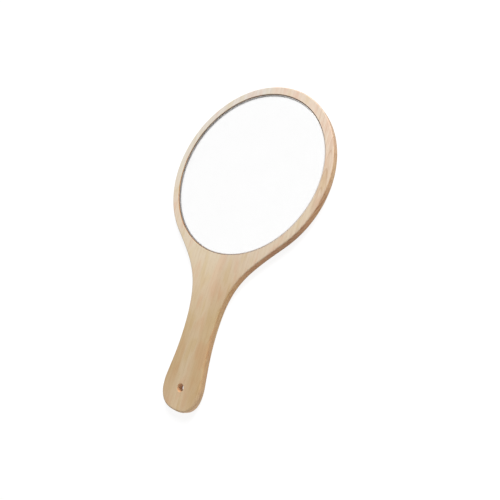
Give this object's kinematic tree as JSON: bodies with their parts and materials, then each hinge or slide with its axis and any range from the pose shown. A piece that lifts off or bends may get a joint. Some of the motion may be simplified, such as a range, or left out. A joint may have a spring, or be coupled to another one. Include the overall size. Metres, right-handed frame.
{
  "type": "hand mirror",
  "caption": "Round wooden hand mirror: a thin board with a flush-looking glass in a routed recess, waisted into a flat rounded handle with a hanging hole.",
  "frame": {"origin": "on the back face, behind the centre of the round glass", "axes": "+X to the right across the head, +Y to the top of the head, -Y along the handle, +Z out of the mirror"},
  "size_m": [0.14, 0.245, 0.006],
  "materials": {
    "wood": "finely sanded pale beech, oiled, satin",
    "glass": "clear polished glass with a ground edge",
    "silver": "silvered",
    "backing_paint": "matt protective paint",
    "foam": "soft double-sided foam tape"
  },
  "bodies": {
    "root": {"paddle": "wood", "glass": "glass", "silver": "silver", "backing_paint": "backing_paint", "foam_pad_1": "foam", "foam_pad_2": "foam", "foam_pad_3": "foam", "foam_pad_4": "foam", "foam_pad_5": "foam"}
  },
  "joints": []
}
